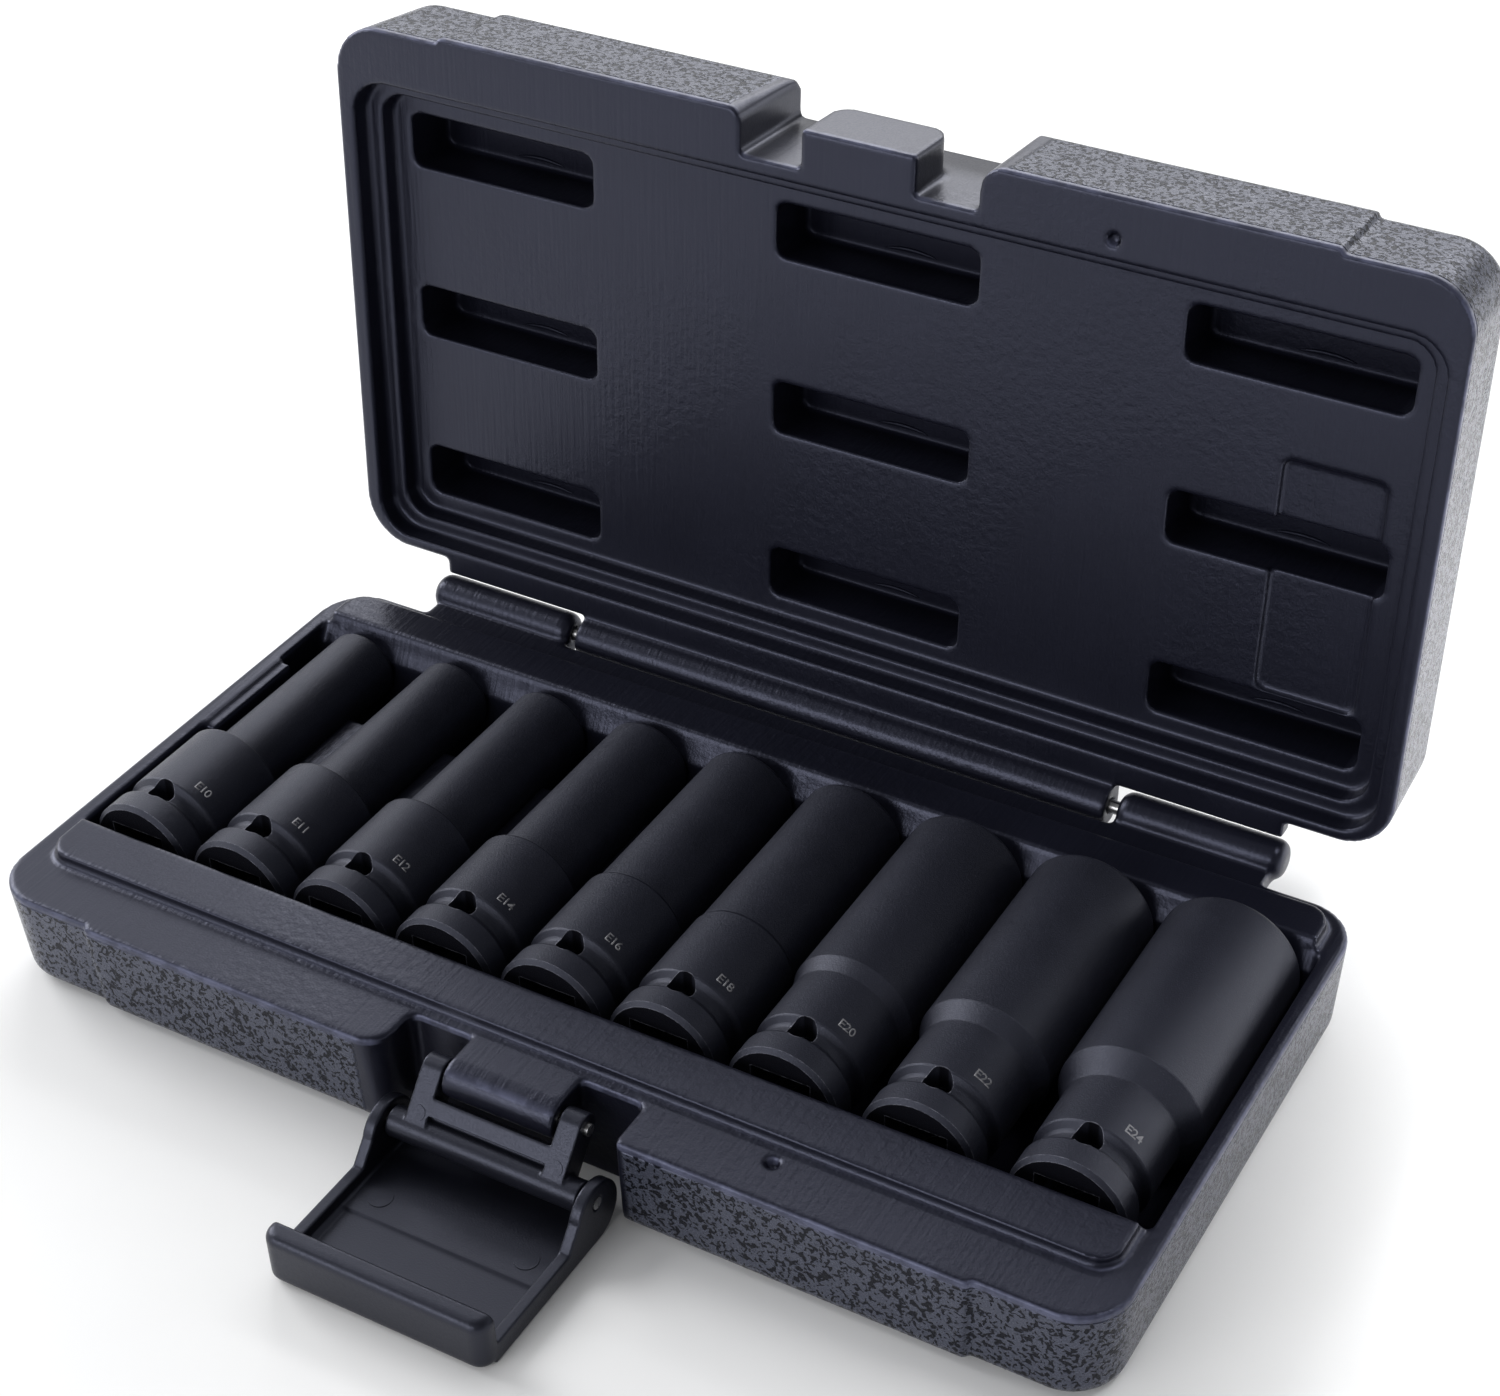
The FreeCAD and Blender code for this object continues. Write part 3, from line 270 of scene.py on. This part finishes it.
def socket_steel():
    """Black phosphated steel: turning marks, painted glints of fine crystals, painted shade on the
    drive face, edges brightened by real wear and painted highlight.
    """
    n = Nodes("socket_steel")
    grit = n.noise(0.35 * MM, detail=4, roughness=0.7)
    cloud = n.noise(6 * MM, detail=3)
    turned = n.noise(0.35 * MM, detail=2, vector=n.stretch((0.03, 1, 0.03)))
    facing = n.add("ShaderNodeTexCoord").outputs["Normal"]
    # end picks out the drive end's face for painted shade: darker colour below and less specular
    end = n.ramp(n.add("ShaderNodeSeparateXYZ", Vector=facing).outputs["Y"], -0.97, -0.9, 1, 0)
    black = n.mix(cloud, colour(0.006, 0.0065, 0.0105), colour(0.0125, 0.0132, 0.0205))
    # painted glints: lighter specks where the phosphate crystals would catch the light
    black = n.mix(n.ramp(grit, 0.55, 0.7), black, colour(0.03, 0.031, 0.042))
    black = n.mix(end, black, colour(0.004, 0.004, 0.006))
    # bright edges: partly real wear through the phosphate, partly painted highlight of the rounded
    # edges
    wear_and_highlight = n.math("MULTIPLY", n.ramp(n.edges(0.4 * MM), 0.015, 0.12),
                  n.ramp(n.noise(1.2 * MM, detail=4, roughness=0.7), 0.4, 0.6, 0.1, 1))
    tone = n.mix(wear_and_highlight, black, colour(0.24, 0.245, 0.29))
    rough = n.math("ADD", n.ramp(grit, 0.3, 0.7, 0.36, 0.5), n.math("MULTIPLY", cloud, 0.06))
    normal = n.bump(turned, 0.02 * MM, 0.25, n.bump(grit, 0.12 * MM, 0.8))
    # painted shade: less specular on the drive end's face
    shine = n.math("SUBTRACT", 0.55, n.math("MULTIPLY", end, 0.4))
    return n.surface(Base_Color=tone, Metallic=n.math("MULTIPLY", wear_and_highlight, 0.5), Roughness=rough,
                     Normal=normal, Specular_IOR_Level=shine, Specular_Tint=colour(0.74, 0.78, 1.0))


def laser_grey():
    """Lasered marking: the black skin burnt away to dull grey."""
    n = Nodes("laser_grey")
    tone = n.mix(n.noise(0.3 * MM, 2), colour(0.2, 0.2, 0.215), colour(0.34, 0.34, 0.36))
    return n.surface(Base_Color=tone, Roughness=0.6, Metallic=0.3,
                     Normal=n.bump(n.noise(0.08 * MM), 0.01 * MM, 0.3))


def floor_white():
    n = Nodes("floor_white")
    speck = n.noise(30 * MM, detail=4)
    return n.surface(Base_Color=n.mix(speck, colour(0.9, 0.9, 0.9), colour(0.93, 0.93, 0.93)),
                     Roughness=0.7)


# ---------------------------------------------------------------- meshes

def new_object(name, mesh):
    thing = bpy.data.objects.new(name, mesh)
    bpy.context.scene.collection.objects.link(thing)
    return thing


def applied(thing, kind, name, **settings):
    """Adds a modifier and applies it."""
    modifier = thing.modifiers.new(name, kind)
    for key, value in settings.items():
        setattr(modifier, key, value)
    graph = bpy.context.evaluated_depsgraph_get()
    mesh = bpy.data.meshes.new_from_object(thing.evaluated_get(graph))
    thing.modifiers.clear()
    old = thing.data
    thing.data = mesh
    bpy.data.meshes.remove(old)


def paint(thing, material):
    thing.data.materials.clear()
    thing.data.materials.append(material)


def add_cylinder(mesh, centre, radius, depth):
    """Adds a closed upright cylinder to a mesh."""
    work = bmesh.new()
    work.from_mesh(mesh)
    bmesh.ops.create_cone(work, cap_ends=True, segments=24, radius1=radius, radius2=radius,
                          depth=depth, matrix=Matrix.Translation(centre))
    work.to_mesh(mesh)
    work.free()


def keep_outside(thing):
    """Drops the skin of the air between the walls, which nobody sees."""
    bpy.ops.object.select_all(action="DESELECT")
    bpy.context.view_layer.objects.active = thing
    thing.select_set(True)
    bpy.ops.object.mode_set(mode="EDIT")
    bpy.ops.mesh.select_all(action="SELECT")
    bpy.ops.mesh.separate(type="LOOSE")
    bpy.ops.object.mode_set(mode="OBJECT")
    parts = list(bpy.context.selected_objects)
    outside = max(parts, key=lambda part: (part.dimensions.x, len(part.data.vertices)))
    for part in parts:
        part.select_set(False)
        if part is not outside:
            bpy.data.objects.remove(part)
    return outside


def softened(node, voxel, passes, share, plug=None, shut=Matrix()):
    """A copy of a CAD solid with every edge softened, as its mould leaves it.

    The copy is remeshed where it lies with the case shut, its walls along the grid, then
    smoothed in passes and thinned to a share of its faces. plug closes the vent's inner end."""
    mesh = nodes[node].data.copy()
    mesh.transform(shut)
    if plug:
        add_cylinder(mesh, plug, VENT_RADIUS + WALL / 2, WALL)
    thing = new_object(f"{node}_moulded", mesh)
    applied(thing, "REMESH", "voxels", mode="VOXEL", voxel_size=voxel)
    if plug:
        thing = keep_outside(thing)
        thing.name = f"{node}_moulded"
    applied(thing, "SMOOTH", "soft", factor=0.5, iterations=passes)
    applied(thing, "DECIMATE", "thin", ratio=share)
    thing.data.transform(shut.inverted())
    for face in thing.data.polygons:
        face.use_smooth = True
    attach(thing, nodes[node]["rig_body"])
    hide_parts(node)
    return thing


def add_disc(name, body, centre, radius, height, material):
    """A low round pad left by an ejector pin, its rim rounded over."""
    mesh = bpy.data.meshes.new(name)
    work = bmesh.new()
    bmesh.ops.create_cone(work, cap_ends=True, segments=40, radius1=radius, radius2=radius,
                          depth=height)
    bmesh.ops.bevel(work, geom=[edge for edge in work.edges if len(edge.link_faces) == 2
                                and any(len(face.verts) > 4 for face in edge.link_faces)],
                    offset=height * 0.35, segments=2, affect="EDGES")
    work.to_mesh(mesh)
    work.free()
    disc = new_object(name, mesh)
    disc.matrix_world = centre
    paint(disc, material)
    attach(disc, body)


def add_pinch(name, centre, material):
    """The slim bent ridge where the two walls pinch together in a pocket's floor."""
    half_length, half_width, half_height, bend = 6 * MM, 0.5 * MM, 0.45 * MM, 0.7 * MM
    mesh = bpy.data.meshes.new(name)
    work = bmesh.new()
    bmesh.ops.create_uvsphere(work, u_segments=32, v_segments=16, radius=1)
    for vertex in work.verts:
        x, y, z = vertex.co
        vertex.co = (x * half_length, y * half_width + x ** 2 * bend, z * half_height)
    for face in work.faces:
        face.smooth = True
    work.to_mesh(mesh)
    work.free()
    mesh.transform(OPENED @ Matrix.Translation(centre))
    ridge = new_object(name, mesh)
    paint(ridge, material)
    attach(ridge, "lid")


def add_size_mark(size, material):
    """The size lasered on a socket's barrel, read from the bolt end's side.

    round_barrel is how far the mark is turned from the top, and along_barrel is where it
    lies from the drive end. Its faces stand just proud of the steel."""
    round_barrel, along_barrel = 0.6, 13.2 * MM
    proud, sunk = 0.03 * MM, -0.05 * MM
    low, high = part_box(f"socket_{size}")
    axis_x, axis_z = (low.x + high.x) / 2, BASE_RIM - AXIS_DROP
    text = bpy.data.curves.new(f"mark_{size}", "FONT")
    text.body = size.upper()
    text.size = 2.9 * MM
    text.space_character = 0.88
    text.offset = 0.03 * MM             # bolder strokes
    text.align_x = "CENTER"
    text.resolution_u = 3
    writing = new_object(f"size_mark_{size}", text)
    bpy.context.view_layer.update()
    mesh = bpy.data.meshes.new_from_object(writing)
    bpy.data.objects.remove(writing)
    work = bmesh.new()
    work.from_mesh(mesh)
    bmesh.ops.dissolve_limit(work, angle_limit=0.01, verts=work.verts, edges=work.edges)
    grown = bmesh.ops.extrude_face_region(work, geom=list(work.faces))
    top = {part for part in grown["geom"] if isinstance(part, bmesh.types.BMVert)}
    for vertex in work.verts:
        turn = round_barrel + vertex.co.x / BARREL_RADIUS
        out = BARREL_RADIUS + (proud if vertex in top else sunk)
        along = low.y + along_barrel + vertex.co.y
        vertex.co = (axis_x + out * math.sin(turn), along, axis_z + out * math.cos(turn))
    bmesh.ops.recalc_face_normals(work, faces=work.faces)
    work.to_mesh(mesh)
    work.free()
    mark = new_object(f"size_mark_{size}", mesh)
    paint(mark, material)
    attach(mark, f"{size}_socket")


def reshaped(thing, change):
    """Puts a mesh's points where change says, given all their places as rows."""
    mesh = thing.data
    places = np.zeros(len(mesh.vertices) * 3)
    mesh.vertices.foreach_get("co", places)
    mesh.vertices.foreach_set("co", change(places.reshape(-1, 3)).ravel())
    mesh.update()


def leant_in(places):
    """Leans in the sides of the strips beside the bed, as their draft does, clear of the lid."""
    lean, rise, strip_start, hinge_start = 0.3 * MM, 1 * MM, 45 * MM, HALF_DEPTH - 1 * MM
    x, y, z = places.T
    moved = np.clip((z - BASE_RIM) / rise, 0, 1) * lean * (y < hinge_start)
    x -= np.sign(x) * moved * np.clip(np.abs(x) / HALF_LENGTH, 0, 1)
    y -= np.sign(y) * moved * (np.abs(y) > strip_start)
    return places


def bored(places):
    """Opens the knuckle's bore, which softening draws in, clear of the hinge pin."""
    play = 0.25 * MM
    low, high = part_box("hinge_pin")
    least = (high.y - low.y) / 2 + play
    offset = places[:, 1:] - np.array(HINGE.yz)
    reach = np.linalg.norm(offset, axis=1)
    near = reach < least
    places[near, 1:] += offset[near] * (least / reach[near] - 1)[:, None]
    return places


# ---------------------------------------------------------------- stage

def add_floor(material):
    reach, below = 6, 0.05 * MM
    mesh = bpy.data.meshes.new("floor")
    mesh.from_pydata([(-reach, -reach, 0), (reach, -reach, 0), (reach, reach, 0),
                      (-reach, reach, 0)], [], [(0, 1, 2, 3)])
    floor = new_object("floor", mesh)
    floor.location.z = -below
    paint(floor, material)


def add_light(name, place, aim, size, power, spread=180):
    data = bpy.data.lights.new(name, "AREA")
    data.shape = "RECTANGLE"
    data.size, data.size_y = size
    data.energy = power
    data.spread = math.radians(spread)
    lamp = bpy.data.objects.new(name, data)
    lamp.location = place
    lamp.rotation_euler = (Vector(aim) - Vector(place)).to_track_quat("-Z", "Y").to_euler()
    bpy.context.scene.collection.objects.link(lamp)


def add_world(horizon, zenith):
    """Soft light from all round, fading overhead and sooner above the front and right."""
    world = bpy.data.worlds.new("studio")
    world.use_nodes = True
    tree = world.node_tree
    upward = tree.nodes.new("ShaderNodeVectorMath")
    upward.operation = "DOT_PRODUCT"
    upward.inputs[1].default_value = (0.4, -0.4, 1)
    tree.links.new(tree.nodes.new("ShaderNodeTexCoord").outputs["Generated"], upward.inputs[0])
    fall = tree.nodes.new("ShaderNodeMapRange")
    for socket, value in zip(fall.inputs[1:5], (0.45, 0.85, horizon, zenith)):
        socket.default_value = value
    tree.links.new(upward.outputs["Value"], fall.inputs["Value"])
    background = tree.nodes["Background"]
    background.inputs["Color"].default_value = colour(0.97, 0.98, 1.0)
    tree.links.new(fall.outputs[0], background.inputs["Strength"])
    bpy.context.scene.world = world
    bpy.context.scene.view_settings.view_transform = "Standard"


def add_camera():
    data = bpy.data.cameras.new("camera")
    data.sensor_width = 36
    data.lens = 66.75
    data.shift_x = -0.0729
    data.shift_y = 0.0566
    camera = bpy.data.objects.new("camera", data)
    camera.location = (0.23754, -0.35538, 0.38675)
    camera.rotation_euler = [math.radians(angle) for angle in (51.944, 0.1615, 28.438)]
    bpy.context.scene.collection.objects.link(camera)
    bpy.context.scene.camera = camera


# ---------------------------------------------------------------- the scene

add_camera()
add_world(horizon=0.85, zenith=0.2)
add_light("key", (-1.3, 0.1, 0.8), (0, 0, 0.03), (0.9, 0.9), 16)
add_light("back", (-0.3, 1.4, 1.0), (0, 0, 0.1), (1.8, 0.8), 18)
add_light("front", (-0.4, -1.4, 0.6), (0, 0, 0.03), (1.2, 0.6), 9.5)
add_light("right", (1.1, 1.0, 0.16), (0.1, 0, 0.02), (1.0, 0.3), 2.5)
add_light("floor_right", (0.52, 0.22, 0.5), (0.45, 0.2, 0), (0.3, 0.5), 1.5, spread=50)
add_floor(floor_white())

base_vent = VENT + Vector((0, 0, BASE_RIM - 1.7 * WALL))
lid_vent = VENT + Vector((0, 0, LID_RIM + 1.7 * WALL))
base = softened("base_shell", 0.55 * MM, 4, 0.165, base_vent)
lid = softened("lid_shell", 0.55 * MM, 4, 0.22, lid_vent, SHUT)
lever = softened("latch_lever", 0.3 * MM, 3, 0.4)
link = softened("latch_link", 0.25 * MM, 3, 0.4)
reshaped(base, leant_in)
reshaped(lid, bored)

paint(base, case_plastic("base_plastic", Matrix(), rim=BASE_RIM, away=-1, height=BASE_RIM,
                         smooth=(-32 * MM, 27.5 * MM)))
paint(lid, case_plastic("lid_plastic", SHUT, rim=LID_RIM, away=1, height=LID_HEIGHT,
                        smooth=(-29 * MM, 31 * MM)))
latch, pins, steel, laser = latch_plastic(), pin_steel(), socket_steel(), laser_grey()
paint(lever, latch)
paint(link, latch)
for name, thing in nodes.items():
    if name.endswith("pin"):
        paint(thing, pins)
    elif name.startswith("socket"):
        paint(thing, steel)

# marks of the ejector pins, on the lever's plate and on the foot of each of the link's arms
base_pin = Vector(joints["link_hinge"]["pos_m"])
lever_pin = Vector(joints["lever_hinge"]["pos_m"])
lean = math.atan2(base_pin.y - lever_pin.y, base_pin.z - lever_pin.z)
link_frame = Matrix.Translation(base_pin) @ Matrix.Rotation(-lean, 4, "X")
plate_mark = Vector((16.5 * MM, lever_pin.y - 12.5 * MM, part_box("latch_lever")[0].z + PLATE))
arm_mark = Vector((15.45 * MM, -3 * MM, -8.6 * MM))
mark_height = 0.24 * MM
for side, mirror in (("left", Vector((-1, 1, 1))), ("right", Vector((1, 1, 1)))):
    on_plate = Matrix.Translation(plate_mark * mirror)
    add_disc(f"lever_mark_{side}", "lever", on_plate, 2.5 * MM, mark_height, latch)
    on_arm = (link_frame @ Matrix.Translation(arm_mark * mirror)
              @ Matrix.Rotation(math.radians(90), 4, "X"))
    add_disc(f"link_mark_{side}", "link", on_arm, 1.7 * MM, mark_height, latch)

# the pinched ridges, each a little off the middle of its pocket
pocket_floor = LID_RIM + POCKET_DEPTH
for opening in frame["record"]["physics"]["openings"]:
    if opening["name"].startswith("lid_pocket"):
        low, high = (Vector(corner) for corner in opening["box_m"])
        middle = SHUT @ ((low + high) / 2)
        centre = Vector((middle.x + 1.5 * MM, middle.y + 3.6 * MM, pocket_floor))
        add_pinch(opening["name"].replace("pocket", "pinch"), centre, lid.data.materials[0])

for size in SIZES:
    add_size_mark(size, laser)
